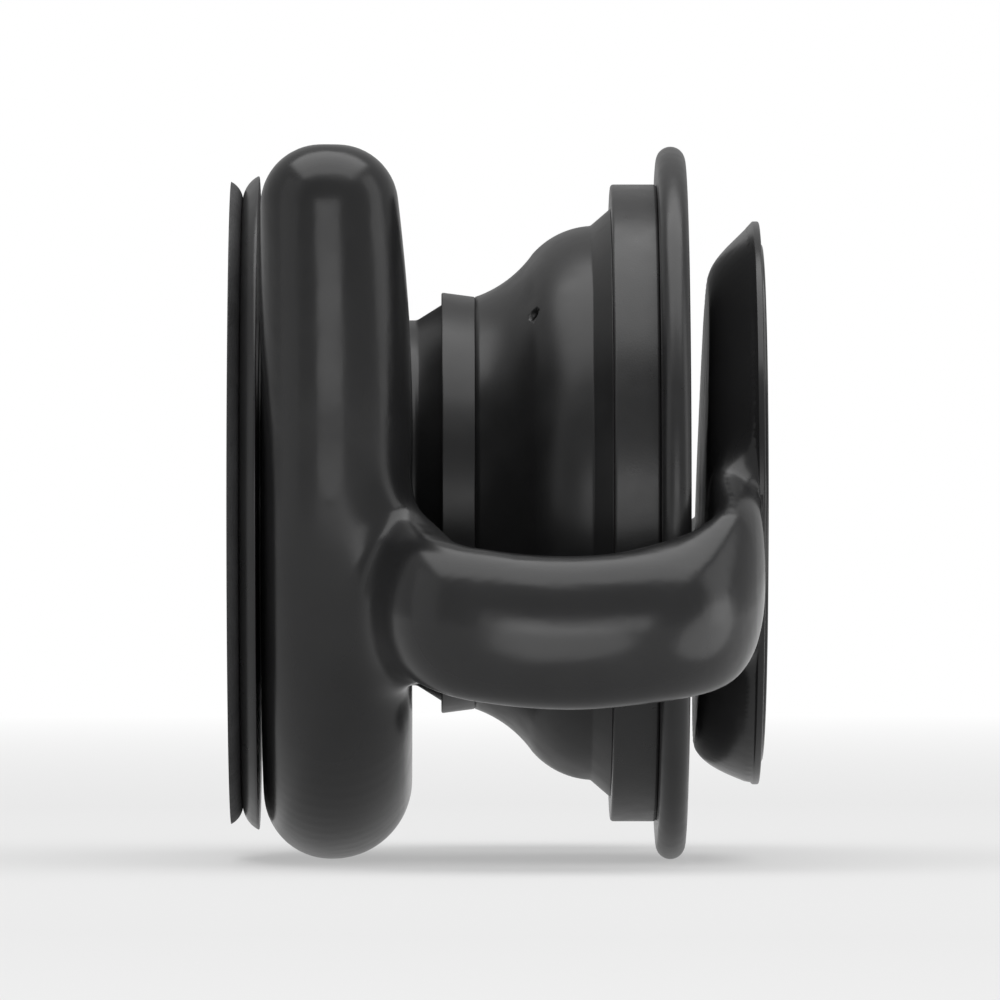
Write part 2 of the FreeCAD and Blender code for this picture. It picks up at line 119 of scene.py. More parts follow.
def add_node(tree, kind, **inputs):
    """A node with some of its sockets set. An underscore in a socket's name stands for a space."""
    node = tree.nodes.new(kind)
    for name, value in inputs.items():
        node.inputs[name.replace("_", " ")].default_value = value
    return node


def white_world():
    world = bpy.data.worlds.new("white_room")
    world.use_nodes = True
    tree = world.node_tree
    tree.nodes.clear()
    path = tree.nodes.new("ShaderNodeLightPath")
    dim = add_node(tree, "ShaderNodeBackground", Color=WHITE, Strength=AMBIENT)
    white = add_node(tree, "ShaderNodeBackground", Color=WHITE, Strength=BACKGROUND_WHITE)
    mix = tree.nodes.new("ShaderNodeMixShader")
    out = tree.nodes.new("ShaderNodeOutputWorld")
    tree.links.new(path.outputs["Is Camera Ray"], mix.inputs[0])
    tree.links.new(dim.outputs[0], mix.inputs[1])
    tree.links.new(white.outputs[0], mix.inputs[2])
    tree.links.new(mix.outputs[0], out.inputs["Surface"])
    return world


scene.world = white_world()
print("background light:", AMBIENT)

# %% Make the floor
FLOOR_HALF_WIDTH = 3000.0
FLOOR_NEAR = 120.0
FLOOR_FAR = 420.0
FLOOR_GREY = (0.3, 0.3, 0.3, 1.0)
FLOOR_GLOW = 0.43


def floor_finish():
    finish = bpy.data.materials.new("floor_white")
    finish.use_nodes = True
    tree = finish.node_tree
    tree.nodes.clear()
    place = tree.nodes.new("ShaderNodeNewGeometry")
    reach = tree.nodes.new("ShaderNodeVectorMath")
    reach.operation = "LENGTH"
    fade = add_node(tree, "ShaderNodeMapRange", From_Min=FLOOR_NEAR * MM, From_Max=FLOOR_FAR * MM)
    sheet = add_node(tree, "ShaderNodeBsdfDiffuse", Color=FLOOR_GREY)
    glow = add_node(tree, "ShaderNodeEmission", Strength=FLOOR_GLOW)
    near = tree.nodes.new("ShaderNodeAddShader")
    far = add_node(tree, "ShaderNodeEmission", Strength=BACKGROUND_WHITE)
    mix = tree.nodes.new("ShaderNodeMixShader")
    out = tree.nodes.new("ShaderNodeOutputMaterial")
    tree.links.new(place.outputs["Position"], reach.inputs[0])
    tree.links.new(reach.outputs["Value"], fade.inputs["Value"])
    tree.links.new(sheet.outputs[0], near.inputs[0])
    tree.links.new(glow.outputs[0], near.inputs[1])
    tree.links.new(fade.outputs["Result"], mix.inputs[0])
    tree.links.new(near.outputs[0], mix.inputs[1])
    tree.links.new(far.outputs[0], mix.inputs[2])
    tree.links.new(mix.outputs[0], out.inputs["Surface"])
    return finish


floor_height = cad_box[0].z
half = FLOOR_HALF_WIDTH * MM
floor_mesh = bpy.data.meshes.new("floor")
floor_corners = [(-half, -half), (half, -half), (half, half), (-half, half)]
floor_mesh.from_pydata([(x, y, floor_height) for x, y in floor_corners], [], [(0, 1, 2, 3)])
floor_mesh.materials.append(floor_finish())
floor = bpy.data.objects.new("floor", floor_mesh)
scene.collection.objects.link(floor)
print("floor at %.2f mm" % (floor_height / MM))

# %% [markdown]
# ## The lights
# Each light is a softbox or a small round card, and each is placed for the highlight that it
# draws. The overhead box draws the pale band along the top of the arm, and the front box draws the
# upright band in the middle of the cradle. The arm card stands close to the arm and draws the soft
# patch on its front, and the right card draws the slanting patch at its end. The side box draws
# the thin second band on the cradle, and the fill box only lifts the left side a little. One large
# lamp would be simpler, but would leave no dark gaps between the highlights, and those gaps show
# how round the forms are. The cards stand so close that they would leave bright pools on the
# floor, so the floor is excluded from their light.

# %% Hang the softboxes
SOFTBOXES = {
    # name: place, the point it faces, width, height, roll in degrees, watts
    "overhead_box": ((14.0, 20.0, 450.0), (14.0, 0.0, 0.0), 700.0, 540.0, 0.0, 2.9),
    "front_box": ((14.0, 780.0, 72.0), (14.0, 0.0, 0.0), 520.0, 180.0, 0.0, 0.75),
    "arm_card": ((12.5, 42.0, -11.0), (12.5, 20.0, -8.0), 17.0, 14.0, 0.0, 0.001),
    "side_box": ((-400.0, 40.0, 150.0), (14.0, 0.0, 0.0), 200.0, 400.0, 0.0, 0.3),
    "right_card": ((-12.5, 29.0, -10.0), (4.0, 23.0, -7.0), 28.0, 15.0, 25.0, 0.0017),
    "fill_box": ((420.0, 160.0, 160.0), (14.0, 0.0, 0.0), 300.0, 360.0, 0.0, 0.14),
}

unlit_by_cards = bpy.data.collections.new("unlit_by_cards")
unlit_by_cards.objects.link(floor)
unlit_by_cards.collection_objects[0].light_linking.link_state = "EXCLUDE"


def hang_softbox(name, place, target, width, height, roll, watts):
    is_card = name.endswith("card")
    light = bpy.data.lights.new(name, "AREA")
    light.shape = "ELLIPSE" if is_card else "RECTANGLE"
    light.size = width * MM
    light.size_y = height * MM
    light.energy = watts
    box = bpy.data.objects.new(name, light)
    box.location = Vector(place) * MM
    box.rotation_mode = "QUATERNION"
    aim = (Vector(target) - Vector(place)).to_track_quat("-Z", "Y")
    box.rotation_quaternion = aim @ Quaternion((0.0, 0.0, 1.0), math.radians(roll))
    box.visible_camera = False
    if is_card:
        box.light_linking.receiver_collection = unlit_by_cards
    scene.collection.objects.link(box)


for name, softbox in SOFTBOXES.items():
    hang_softbox(name, *softbox)
print("softboxes:", ", ".join(SOFTBOXES))

# %% [markdown]
# ## The finishes
# Every piece is nearly black, yet no two feel alike. Soft silicone has a fine powdery grain.
# Hard plastic shows the spark-eroded grain of its mould. The bellows was moulded in a turned
# tool, so it has faint rings. The gel is smooth and tacky, and the adhesive disc is matt and
# porous. Each finish mixes two close tones, lets the roughness drift a little and raises a
# shallow grain. The texture is placed in the object's own metres, so a grain size is a real size.

# %% Write the shared part of a finish
# Soft noise seldom leaves this span.
NOISE_LOW = 0.3
NOISE_HIGH = 0.7
# The lighter tone is reached at this noise, and both tones are a touch blue.
LIGHT_FROM = 0.72
COOL_TINT = 1.03


def start_finish(name, ior):
    """A material with one shader, and the place on the object that its textures read."""
    finish = bpy.data.materials.new(name)
    finish.use_nodes = True
    tree = finish.node_tree
    shader = tree.nodes["Principled BSDF"]
    shader.inputs["IOR"].default_value = ior
    place = tree.nodes.new("ShaderNodeTexCoord").outputs["Object"]
    return finish, tree, shader, place


def cloud(tree, place, size, detail=3.0):
    """Soft noise whose patches are about size millimetres wide."""
    node = add_node(tree, "ShaderNodeTexNoise", Scale=1.0 / (size * MM), Detail=detail)
    tree.links.new(place, node.inputs["Vector"])
    return node.outputs[0]


def tones(tree, shader, value, dark, light):
    """Base colour that drifts between two greys."""
    ramp = tree.nodes.new("ShaderNodeValToRGB")
    ramp.color_ramp.elements[0].position = NOISE_LOW
    ramp.color_ramp.elements[1].position = LIGHT_FROM
    ramp.color_ramp.elements[0].color = (dark, dark, dark * COOL_TINT, 1.0)
    ramp.color_ramp.elements[1].color = (light, light, light * COOL_TINT, 1.0)
    tree.links.new(value, ramp.inputs["Fac"])
    tree.links.new(ramp.outputs["Color"], shader.inputs["Base Color"])


def sheen_drift(tree, shader, value, smooth, rough):
    """Roughness that drifts between two values."""
    span = add_node(tree, "ShaderNodeMapRange", From_Min=NOISE_LOW, From_Max=NOISE_HIGH)
    span.inputs["To Min"].default_value = smooth
    span.inputs["To Max"].default_value = rough
    tree.links.new(value, span.inputs["Value"])
    tree.links.new(span.outputs["Result"], shader.inputs["Roughness"])


def raise_grain(tree, value, depth, under=None):
    """Bump of a real depth in millimetres, over an earlier bump if there is one."""
    bump = add_node(tree, "ShaderNodeBump", Strength=1.0, Distance=depth * MM)
    tree.links.new(value, bump.inputs["Height"])
    if under is not None:
        tree.links.new(under, bump.inputs["Normal"])
    return bump.outputs["Normal"]


print("helpers for the finishes are ready")

# %% Mix the finishes
SPARK_SIZE = 0.11
RING_MARK = 3.2
PORE_SIZE = 0.16


def soft_silicone():
    finish, tree, shader, place = start_finish("soft_silicone", ior=1.4)
    tones(tree, shader, cloud(tree, place, size=6.0), dark=0.010, light=0.014)
    sheen_drift(tree, shader, cloud(tree, place, size=2.5), smooth=0.21, rough=0.27)
    swell = raise_grain(tree, cloud(tree, place, size=1.1), depth=0.004)
    powder = raise_grain(tree, cloud(tree, place, size=0.09, detail=2.0), depth=0.0016, under=swell)
    tree.links.new(powder, shader.inputs["Normal"])
    return finish


def hard_plastic():
    finish, tree, shader, place = start_finish("hard_plastic", ior=1.43)
    tones(tree, shader, cloud(tree, place, size=4.0), dark=0.011, light=0.015)
    sheen_drift(tree, shader, cloud(tree, place, size=1.2), smooth=0.27, rough=0.34)
    spark = add_node(tree, "ShaderNodeTexVoronoi", Scale=1.0 / (SPARK_SIZE * MM))
    tree.links.new(place, spark.inputs["Vector"])
    grain = raise_grain(tree, spark.outputs["Distance"], depth=0.0022)
    tree.links.new(grain, shader.inputs["Normal"])
    return finish


def bellows_skin():
    finish, tree, shader, place = start_finish("bellows_skin", ior=1.39)
    tones(tree, shader, cloud(tree, place, size=3.5), dark=0.009, light=0.012)
    sheen_drift(tree, shader, cloud(tree, place, size=1.8), smooth=0.30, rough=0.38)
    rings = add_node(tree, "ShaderNodeTexWave", Scale=1.0 / (RING_MARK * MM), Distortion=0.6, Detail=1.0)
    rings.bands_direction = "X"
    tree.links.new(place, rings.inputs["Vector"])
    turned_marks = raise_grain(tree, rings.outputs["Fac"], depth=0.0008)
    specks = cloud(tree, place, size=0.12, detail=2.0)
    powder = raise_grain(tree, specks, depth=0.0012, under=turned_marks)
    tree.links.new(powder, shader.inputs["Normal"])
    return finish


def tacky_gel():
    finish, tree, shader, place = start_finish("tacky_gel", ior=1.41)
    tones(tree, shader, cloud(tree, place, size=5.0), dark=0.012, light=0.018)
    sheen_drift(tree, shader, cloud(tree, place, size=0.8, detail=5.0), smooth=0.12, rough=0.26)
    ripple = raise_grain(tree, cloud(tree, place, size=3.0), depth=0.010)
    tree.links.new(ripple, shader.inputs["Normal"])
    return finish


def adhesive_film():
    finish, tree, shader, place = start_finish("adhesive_film", ior=1.47)
    tones(tree, shader, cloud(tree, place, size=1.5), dark=0.022, light=0.034)
    sheen_drift(tree, shader, cloud(tree, place, size=0.6), smooth=0.55, rough=0.72)
    pores = add_node(tree, "ShaderNodeTexVoronoi", Scale=1.0 / (PORE_SIZE * MM))
    tree.links.new(place, pores.inputs["Vector"])
    open_cells = raise_grain(tree, pores.outputs["Distance"], depth=0.012)
    tree.links.new(open_cells, shader.inputs["Normal"])
    return finish


FINISHES = {
    "soft_frame": soft_silicone(),
    "gel": tacky_gel(),
    "adhesive": adhesive_film(),
    "hard_plastic": hard_plastic(),
    "bellows": bellows_skin(),
}
print("finishes:", ", ".join(finish.name for finish in FINISHES.values()))

# %% [markdown]
# ## Turned pieces
# All pieces of the grip are round about the same axis, so each is one outline spun about X. A
# stack of cylinders would be quicker, but its edges would be knife sharp. Moulded edges are
# slightly round and catch a fine line of light, so each corner of an outline carries a radius.
# The outline is rounded first and spun afterwards, which keeps the mesh even all the way round.

# %% Write the outline tools
CORNER_STEPS = 5
# A rounding uses up no more than this share of the shorter side at its corner.
LONGEST_CUT = 0.45


def arc(start, stop, radius, side, steps=14):
    """Points between start and stop on a circle whose centre lies to that side of the chord."""
    begin, end = Vector(start), Vector(stop)
    chord = end - begin
    turn = 1 if side == "left" else -1
    reach = math.sqrt(max(radius ** 2 - (chord.length / 2) ** 2, 0.0))
    centre = (begin + end) / 2 + Vector((-chord.y, chord.x)).normalized() * reach * turn
    first = math.atan2(begin.y - centre.y, begin.x - centre.x)
    sweep = math.atan2(end.y - centre.y, end.x - centre.x) - first
    sweep = sweep % (2 * math.pi) if turn == 1 else -((-sweep) % (2 * math.pi))
    angles = [first + sweep * step / steps for step in range(1, steps)]
    return [(centre.x + radius * math.cos(a), centre.y + radius * math.sin(a), 0.0) for a in angles]


def rounded(outline):
    """The closed outline with each corner (x, radius, rounding) replaced by a small arc."""
    points = []
    for number, (x, radius, rounding) in enumerate(outline):
        corner = Vector((x, radius))
        before = Vector(outline[number - 1][:2]) - corner
        after = Vector(outline[(number + 1) % len(outline)][:2]) - corner
        if rounding == 0.0:
            points.append(corner)
            continue
        half_turn = before.angle(after) / 2
        shorter = min(before.length, after.length)
        back = min(rounding / math.tan(half_turn), LONGEST_CUT * shorter)
        enter = corner + before.normalized() * back
        leave = corner + after.normalized() * back
        for step in range(CORNER_STEPS + 1):
            share = step / CORNER_STEPS
            points.append(enter.lerp(corner, share).lerp(corner.lerp(leave, share), share))
    return points


print("steps in a rounded corner:", CORNER_STEPS)

# %% Write the turning tools
TURN_STEPS = 192
SAME_POINT = 0.0005
FLAT_WEIGHT = 100


def spin(name, outline):
    """A closed mesh from an outline of (x, radius, rounding) corners spun about the X axis."""
    work = bmesh.new()
    ring = [work.verts.new((p.x * MM, 0.0, max(p.y, 0.0) * MM)) for p in rounded(outline)]
    edges = [work.edges.new((ring[n], ring[(n + 1) % len(ring)])) for n in range(len(ring))]
    edges = [e for e in edges if max(v.co.z for v in e.verts) > 0.0]
    bmesh.ops.spin(
        work, geom=edges, cent=(0, 0, 0), axis=(1, 0, 0),
        angle=2 * math.pi, steps=TURN_STEPS, use_merge=True,
    )
    bmesh.ops.remove_doubles(work, verts=work.verts, dist=SAME_POINT * MM)
    loose = [e for e in work.edges if not e.link_faces]
    bmesh.ops.delete(work, geom=loose, context="EDGES")
    bmesh.ops.recalc_face_normals(work, faces=work.faces)
    mesh = bpy.data.meshes.new(name)
    work.to_mesh(mesh)
    work.free()
    mesh.shade_smooth()
    piece = bpy.data.objects.new(name, mesh)
    scene.collection.objects.link(piece)
    return piece


def keep_flats(piece):
    """Shade the flat faces flat, so that only the rounded corners bend the light."""
    weighted = piece.modifiers.new("flat_faces", "WEIGHTED_NORMAL")
    weighted.weight = FLAT_WEIGHT


print("steps in a full turn:", TURN_STEPS)

# %% Write the tools that place a piece


def seat(piece, slot, body, *nodes):
    """Give a piece its finish, let it ride on its body and stand for its CAD nodes."""
    piece.data.materials.clear()
    piece.data.materials.append(FINISHES[slot])
    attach(piece, body)
    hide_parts(*nodes)
    print("%s: %d faces on %s" % (piece.name, len(piece.data.polygons), body))


def extent(node):
    """Where a turned node starts and ends along X, and its radius, in millimetres."""
    low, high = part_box(node)
    return low.x / MM, high.x / MM, high.y / MM


print("the part starts and ends at %.2f and %.2f mm" % (cad_box[0].x / MM, cad_box[1].x / MM))

# %% [markdown]
# ### The two stick-on discs
# A clear liner is peeled off each of these discs in use, which leaves bare gel on the wall side
# and bare adhesive on the other. Both are thin slices. The gel has a fuller, rounder edge because
# it was poured, and the adhesive disc was cut by a die, so its rim is only slightly round.

# %% Turn the gel disc and the adhesive disc
GEL_EDGE = 0.16
GROOVE_RADIUS = 16.9
ADHESIVE_ROUND = 1.2

gel_start, gel_end, gel_radius = extent("wall_gel_pad")
gel_disc = spin("gel_disc", [
    (gel_start, 0.0, 0.0),
    (gel_end, 0.0, 0.0),
    (gel_end, gel_radius, GEL_EDGE),
    (gel_start, gel_radius, GEL_EDGE),
])
keep_flats(gel_disc)
seat(gel_disc, "gel", "mount", "wall_gel_pad")

pad_start, pad_end, pad_radius = extent("phone_adhesive_pad")
pad_rim = arc((pad_end, pad_radius), (pad_start, GROOVE_RADIUS), ADHESIVE_ROUND, "left")
adhesive_disc = spin("adhesive_disc", [
    (pad_start, 0.0, 0.0),
    (pad_end, 0.0, 0.0),
    (pad_end, pad_radius, 0.0),
    *pad_rim,
    (pad_start, GROOVE_RADIUS, 0.0),
])
keep_flats(adhesive_disc)
seat(adhesive_disc, "adhesive", "grip", "phone_adhesive_pad")

# %% [markdown]
# ### The base of the grip
# The base is a thin flared plate. Behind it stands a hub with a lip, and the foot of the bellows
# is stretched over that lip. The lip is hidden in use, but it is what holds the grip together.

# %% Turn the base
EDGE = 0.12
PLATE_LIP = 0.08
PLATE_ROUND = 1.6
HUB_RADIUS = 6.0
HUB_LIP = 0.7
FOOT_THICKNESS = 1.2

bellows_start, bellows_end, bead_radius = extent("bellows")
hub_end, plate_back, plate_radius = extent("grip_base")
plate_face = bellows_end
foot = plate_face - FOOT_THICKNESS
plate_rim = arc((plate_back, GROOVE_RADIUS), (plate_face + PLATE_LIP, plate_radius), PLATE_ROUND, "left")
base_plate = spin("base_plate", [
    (plate_back, 0.0, 0.0),
    (plate_back, GROOVE_RADIUS, 0.0),
    *plate_rim,
    (plate_face + PLATE_LIP, plate_radius, 0.0),
    (plate_face, plate_radius, PLATE_LIP / 2),
    (plate_face, HUB_RADIUS, 0.0),
    (foot, HUB_RADIUS, 0.0),
    (foot, HUB_RADIUS + HUB_LIP, EDGE),
    (hub_end, HUB_RADIUS, EDGE),
    (hub_end, 0.0, 0.0),
])
keep_flats(base_plate)
seat(base_plate, "hard_plastic", "grip", "grip_base")

# %% [markdown]
# ### The button
# The button is a disc with a full round rim and a collar. The collar hooks over a bead on the
# bellows, and a short spigot on the disc clamps the bead from inside. The rim is the part that a
# finger feels, so it gets a true half circle and not a chamfer.

# %% Turn the button
SPIGOT_WALL = 1.2
FIT = 0.05
COLLAR_LIP = 0.5
COLLAR_ROUND = 0.2
BEAD_STEP = 0.4
RIM_STEPS = 24

button_face, spigot_end, button_radius = extent("button_disc")
button_back, collar_end, collar_radius = extent("button_collar")
rim_round = (button_back - button_face) / 2
rim_flat = button_radius - rim_round
spigot_out = bead_radius - FIT
button_disc = spin("button_face", [
    (button_face, 0.0, 0.0),
    (button_back, 0.0, 0.0),
    (button_back, spigot_out - SPIGOT_WALL, EDGE),
    (spigot_end, spigot_out - SPIGOT_WALL, EDGE),
    (spigot_end, spigot_out, EDGE),
    (button_back, spigot_out, 0.0),
    (button_back, rim_flat, 0.0),
    *arc((button_back, rim_flat), (button_face, rim_flat), rim_round, "left", RIM_STEPS),
    (button_face, rim_flat, 0.0),
])
keep_flats(button_disc)
seat(button_disc, "hard_plastic", "button", "button_disc")

lip_start = collar_end - COLLAR_LIP + FIT
flare_radius = bead_radius - BEAD_STEP
collar = spin("button_ring", [
    (button_back, bead_radius + FIT, 0.0),
    (lip_start, bead_radius + FIT, EDGE / 2),
    (lip_start, flare_radius + FIT, EDGE / 2),
    (collar_end, flare_radius + FIT, EDGE / 2),
    (collar_end, collar_radius, COLLAR_ROUND),
    (button_back, collar_radius, COLLAR_ROUND),
])
keep_flats(collar)
seat(collar, "hard_plastic", "button", "button_collar")

# %% [markdown]
# ### The bellows
# The bellows is one thin soft moulding. Its wall swings in an S from a wide flare at the button
# to a narrow ring, and folds when the button is pressed. The neck beyond the ring never folds, and
# the bead at the wide end stays in the button's collar. So the skin is made in three pieces: the
# neck stays with the base, the bead goes with the button, and the cone lies between them. A
# pinhole in the cone lets the air out. It is cut with a boolean, because a painted dot would
# vanish in a close view.

# %% Turn the neck of the bellows
WALL = 1.1
RING_LENGTH = 1.87
RING_RADIUS = 11.7
RING_TAPER = 0.25
NECK_RADIUS = 10.15
NECK_FLARE_LENGTH = 1.35
NECK_FLARE_RADIUS = 11.0
NECK_BEND = 0.5
FOOT_BEND = 0.3
CONE_LENGTH = 6.4
FLARE_LENGTH = 1.1

cone_start = collar_end + FLARE_LENGTH
cone_end = cone_start + CONE_LENGTH
ring_end = cone_end + RING_LENGTH
neck_start = ring_end + NECK_FLARE_LENGTH
cone_foot = RING_RADIUS - RING_TAPER
neck = spin("bellows_neck", [
    (plate_face, HUB_RADIUS, 0.0),
    (plate_face, NECK_RADIUS, EDGE),
    (neck_start, NECK_RADIUS, NECK_BEND),
    (ring_end, NECK_FLARE_RADIUS, 0.0),
    (ring_end, RING_RADIUS, EDGE),
    (cone_end, cone_foot, EDGE),
    (cone_end, cone_foot - WALL, 0.0),
    (ring_end, cone_foot - WALL, 0.0),
    (neck_start, NECK_RADIUS - WALL, NECK_BEND),
    (foot, NECK_RADIUS - WALL, FOOT_BEND),
    (foot, HUB_RADIUS, EDGE),
])
keep_flats(neck)
seat(neck, "bellows", "grip", "bellows")

# %% Turn the bead and the cone
WAIST_SHARE = 0.5
WAIST_RADIUS = 13.85
WIDE_RADIUS = 15.4
FOOT_ROUND = 6.5
HEAD_ROUND = 4.6
FLARE_BEND = 0.3
SEAM = 0.04

waist = cone_start + CONE_LENGTH * WAIST_SHARE
lip = collar_end - COLLAR_LIP


def bent_wall(inset):
    """The S of the cone from the ring to the flare, moved in by inset."""
    low = (cone_end, cone_foot - inset)
    middle = (waist, WAIST_RADIUS - inset)
    high = (cone_start, WIDE_RADIUS - inset)
    lower = arc(low, middle, FOOT_ROUND, "right")
    upper = arc(middle, high, HEAD_ROUND, "left")
    return [(*low, 0.0), *lower, (*middle, 0.0), *upper, (*high, FLARE_BEND)]


bore_radius = WIDE_RADIUS - WALL
bead = spin("bellows_bead", [
    (collar_end, flare_radius, SEAM),
    (lip, flare_radius, 0.0),
    (lip, bead_radius, EDGE),
    (bellows_start, bead_radius, EDGE),
    (bellows_start, bore_radius, EDGE),
    (collar_end, bore_radius, SEAM),
])
keep_flats(bead)
seat(bead, "bellows", "button", "bellows")

cone = spin("bellows_cone", [
    *bent_wall(0.0),
    (collar_end, flare_radius, SEAM),
    (collar_end, bore_radius, SEAM),
    *reversed(bent_wall(WALL)),
])
print("the cone is %.2f mm long" % (cone_end - collar_end))

# %% Cut the pinhole
VENT_RADIUS = 0.35
VENT_ANGLE = math.radians(48.0)
VENT_TILT = math.radians(45.0)
DRILL_SIDES = 24
DRILL_LENGTH = 4 * WALL

vent_out = (math.cos(VENT_ANGLE), math.sin(VENT_ANGLE))
vent_way = Vector((math.tan(VENT_TILT), *vent_out)).normalized()
vent_middle = Vector((waist, WAIST_RADIUS * vent_out[0], WAIST_RADIUS * vent_out[1]))
drill_shape = bmesh.new()
bmesh.ops.create_cone(
    drill_shape, cap_ends=True, segments=DRILL_SIDES,
    radius1=VENT_RADIUS * MM, radius2=VENT_RADIUS * MM, depth=DRILL_LENGTH * MM,
)
drill_mesh = bpy.data.meshes.new("drill")
drill_shape.to_mesh(drill_mesh)
drill_shape.free()
drill = bpy.data.objects.new("drill", drill_mesh)
drill.location = vent_middle * MM
drill.rotation_mode = "QUATERNION"
drill.rotation_quaternion = vent_way.to_track_quat("Z", "Y")
scene.collection.objects.link(drill)


def bake_modifiers(piece):
    """Replace the mesh by what its modifiers make of it."""
    bpy.context.view_layer.update()
    shown = piece.evaluated_get(bpy.context.evaluated_depsgraph_get())
    mesh = bpy.data.meshes.new_from_object(shown)
    piece.modifiers.clear()
    piece.data = mesh


cut = cone.modifiers.new("pinhole", "BOOLEAN")
cut.solver = "EXACT"
cut.object = drill
bake_modifiers(cone)
bpy.data.objects.remove(drill)
cone.data.shade_smooth()
keep_flats(cone)
seat(cone, "bellows", "grip", "bellows")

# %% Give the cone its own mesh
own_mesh(cone)

# %% [markdown]
# ## The soft frame
# The frame is one moulding: a cradle open at the top, two arms that pass outside the button and a
# flared dish. In CAD the arms run into the cradle at a crease. A real soft moulding flows there,
# with a generous radius. Cutting fillets into such a blend is hard, so the skin is first remade
# as an even grid of small faces and laid back onto the CAD surface.

# %% Remake the skin as an even grid
GRID = 0.28
WELD_GAP = 0.001

skin_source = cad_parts["mount_frame"]
soft_frame = bpy.data.objects.new("soft_frame", skin_source.data.copy())
soft_frame.data.name = "soft_frame"
scene.collection.objects.link(soft_frame)
weld = soft_frame.modifiers.new("weld", "WELD")
weld.merge_threshold = WELD_GAP * MM
grid = soft_frame.modifiers.new("grid", "REMESH")
grid.mode = "VOXEL"
grid.voxel_size = GRID * MM
lay = soft_frame.modifiers.new("lay_on_cad", "SHRINKWRAP")
lay.target = skin_source
lay.wrap_method = "NEAREST_SURFACEPOINT"
bake_modifiers(soft_frame)
print("grid faces:", len(soft_frame.data.polygons))

# %% [markdown]
# ### Flaring the roots of the arms
# Each arm grows taller and wider just before it runs into the dish and the cradle, so that it does
# not tear there. The flare could be a separate wedge, but its edges would show. Instead the points
# of the skin are moved. The strap is widened towards the button, as far as there is room for it.
# Then the upper half of each root is turned a little upwards about the grip's axis. The dish and
# its recess are round about that axis, so the turn slides them along themselves and leaves their
# shape alone. Each pair of numbers below says where an effect starts and where it is full.

# %% Read the points of the skin
skin = soft_frame.data
count = len(skin.vertices)
places = np.empty(count * 3)
skin.vertices.foreach_get("co", places)
places = places.reshape(-1, 3) / MM
along = places[:, 0]
side = np.sign(places[:, 1])
beside = np.abs(places[:, 1])
height = places[:, 2]
reach = np.hypot(beside, height)


def ramp(values, none, full):
    """From 0 at the first mark to 1 at the second, in either direction."""
    return np.clip((values - none) / (full - none), 0.0, 1.0)


def smooth_ramp(values, none, full):
    """The same, with soft ends."""
    share = ramp(values, none, full)
    return share * share * (3.0 - 2.0 * share)


print("points of the skin:", count)

# %% Widen the straps
STRAP_WIDEN = 0.9
STRAP_OUTSIDE = (21.0, 16.0)
STRAP_INSIDE = (14.4, 15.2)
STRAP_WALL_SIDE = (0.6, 1.8)
STRAP_BUTTON_SIDE = (3.75, 2.0)
WIDEN_BELOW = (-7.0, -2.5)
WIDEN_ABOVE = (4.0, 0.5)

widen = STRAP_WIDEN * smooth_ramp(reach, *STRAP_OUTSIDE) * smooth_ramp(reach, *STRAP_INSIDE)
widen *= smooth_ramp(along, *STRAP_WALL_SIDE) * smooth_ramp(along, *STRAP_BUTTON_SIDE)
widen *= smooth_ramp(height, *WIDEN_BELOW) * smooth_ramp(height, *WIDEN_ABOVE)
along = along + widen
print("widest shift: %.2f mm" % widen.max())

# %% Flare the roots
DISH_LIFT = 1.4
DISH_ROOT = (25.0, 18.5)
DISH_END = (10.0, 5.5)
CRADLE_LIFT = 0.6
CRADLE_ROOT = (14.0, 16.0)
CRADLE_END = (16.5, 20.0)
LIFT_BELOW = (-6.0, -1.5)
LIFT_ABOVE = (6.0, 1.0)
NEAR_AXIS = 1.0

lift = DISH_LIFT * smooth_ramp(reach, *DISH_ROOT) * smooth_ramp(along, *DISH_END)
lift += CRADLE_LIFT * smooth_ramp(beside, *CRADLE_ROOT) * smooth_ramp(along, *CRADLE_END)
lift *= smooth_ramp(height, *LIFT_BELOW) * smooth_ramp(height, *LIFT_ABOVE)
angle = np.arctan2(height, beside) + lift / np.maximum(reach, NEAR_AXIS)
places = np.column_stack([along, side * reach * np.cos(angle), reach * np.sin(angle)])
print("highest lift: %.2f mm" % lift.max())

# %% [markdown]
# ### Filling the roots of the arms
# A crease is a place where the neighbours of a point lie further out than the point itself. Each
# pass lifts such points a little towards their neighbours and leaves bulges alone, so a crease
# fills up like a bead of soft material, and the arm beside it keeps its size. A share from 0 to 1
# keeps the effect near the roots, and off the seat of the neck and the recess of the gel disc.

# %% Choose the points that take part
ROOTS = [
    # middle of the blend, reach of the full effect, reach of the fade
    (np.array([21.4, 16.8, -5.4]), 7.0, 9.5),
    (np.array([2.6, 15.6, 1.0]), 3.6, 5.6),
    (np.array([2.2, 14.8, -8.4]), 1.6, 3.2),
]
SEAT_GUARD = (14.0, 16.0)
DISH_GUARD = (0.5, 1.0)
RECESS_GUARD = (1.3, 1.6)
RECESS_RADIUS = 14.6
HALFWAY = 14.0

mirrored = np.column_stack([places[:, 0], np.abs(places[:, 1]), places[:, 2]])
share = np.zeros(count)
for middle, near, far in ROOTS:
    gap = np.linalg.norm(mirrored - middle, axis=1)
    share = np.maximum(share, 1.0 - ramp(gap, near, far))
reach = np.hypot(places[:, 1], places[:, 2])
in_recess = ramp(places[:, 0], *RECESS_GUARD)
share *= np.where(places[:, 0] > HALFWAY, ramp(reach, *SEAT_GUARD), ramp(places[:, 0], *DISH_GUARD))
share *= np.where(reach < RECESS_RADIUS, in_recess, 1.0)
print("points that take part:", np.count_nonzero(share), "of", count)

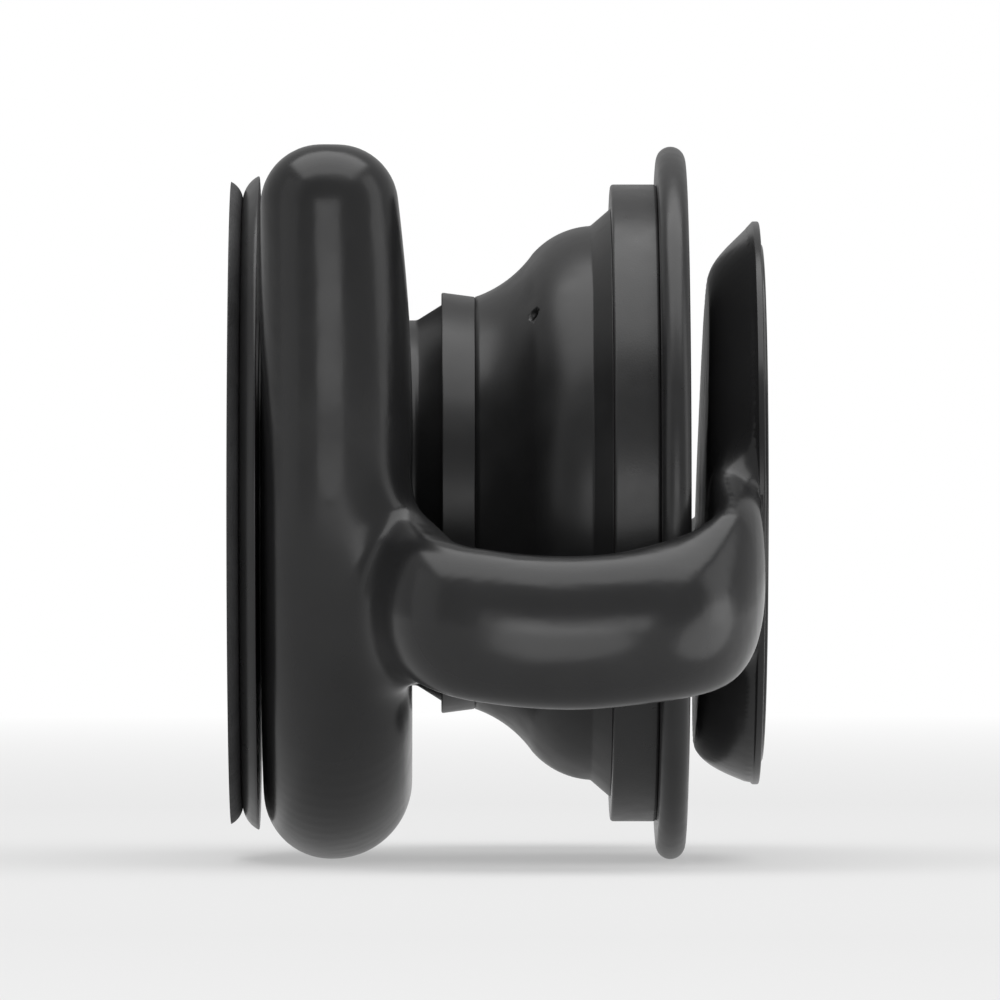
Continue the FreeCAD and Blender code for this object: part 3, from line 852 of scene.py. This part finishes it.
# %% Find the neighbours of each point
ends = np.empty(len(skin.edges) * 2, dtype=np.int32)
skin.edges.foreach_get("vertices", ends)
one, other = ends.reshape(-1, 2).T
starts = np.concatenate([one, other])
stops = np.concatenate([other, one])
active = np.flatnonzero(share)
number_of = np.zeros(count, dtype=np.int32)
number_of[active] = np.arange(len(active))
kept = share[starts] > 0.0
stops = stops[kept]
starts = number_of[starts[kept]]
valence = np.bincount(starts)[:, None]
weight = share[active][:, None]


def pull_of_neighbours():
    """From each active point to the mean of its neighbours."""
    sums = [np.bincount(starts, places[stops, axis], len(active)) for axis in range(3)]
    return np.column_stack(sums) / valence - places[active]


def store_places():
    """Write the moved points back into the mesh."""
    skin.vertices.foreach_set("co", (places * MM).ravel())
    skin.update()


print("points with neighbours:", len(active))

# %% Fill the creases
FILL_PASSES = 900
FILL_RATE = 0.8
NORMALS_EVERY = 6
SETTLE_PASSES = 30
SETTLE_RATE = 0.5

before = places.copy()
normals = np.empty(count * 3)
for turn in range(FILL_PASSES):
    if turn % NORMALS_EVERY == 0:
        store_places()
        skin.vertex_normals.foreach_get("vector", normals)
        outward = normals.reshape(-1, 3)[active]
    hollow = np.maximum((pull_of_neighbours() * outward).sum(axis=1, keepdims=True), 0.0)
    places[active] += FILL_RATE * weight * hollow * outward
for turn in range(SETTLE_PASSES):
    places[active] += SETTLE_RATE * weight * pull_of_neighbours()
store_places()
print("deepest fill: %.2f mm" % np.linalg.norm(places - before, axis=1).max())

# %% [markdown]
# ### The rim of the dish
# The rim is thin and its edge is nearly sharp, which is too fine for the grid. So the skin is drawn
# in slightly along the rim, and a turned ring with a true round edge is joined to it. A boolean
# union makes one closed skin of the two.

# %% Join a turned rim
DISH_RADIUS = 15.65
RIM_THICKNESS = 0.35
RIM_DEPTH = 0.75
RIM_ROUND = 0.12
DRAW_IN = 0.12
DRAW_FADE = (0.55, 0.85)

rim_face, _, _ = extent("mount_frame")
reach = np.hypot(places[:, 1], places[:, 2])
draw = DRAW_IN * (1.0 - ramp(places[:, 0], *DRAW_FADE)) * (reach > DISH_RADIUS - RIM_DEPTH)
places[:, 1:] *= (1.0 - draw / np.maximum(reach, NEAR_AXIS))[:, None]
places[:, 0] = np.maximum(places[:, 0], rim_face + DRAW_IN / 2)
store_places()
rim_back = rim_face + RIM_THICKNESS
rim = spin("rim", [
    (rim_face, DISH_RADIUS - RIM_DEPTH, 0.0),
    (rim_back + RIM_THICKNESS, DISH_RADIUS - RIM_DEPTH, 0.0),
    (rim_back + RIM_THICKNESS, DISH_RADIUS - RIM_DEPTH / 2, 0.0),
    (rim_back, DISH_RADIUS, RIM_ROUND),
    (rim_face, DISH_RADIUS, RIM_ROUND),
])
join = soft_frame.modifiers.new("rim", "BOOLEAN")
join.operation = "UNION"
join.solver = "EXACT"
join.object = rim
bake_modifiers(soft_frame)
bpy.data.objects.remove(rim)
soft_frame.data.shade_smooth()
keep_flats(soft_frame)
seat(soft_frame, "soft_frame", "mount", "mount_frame")
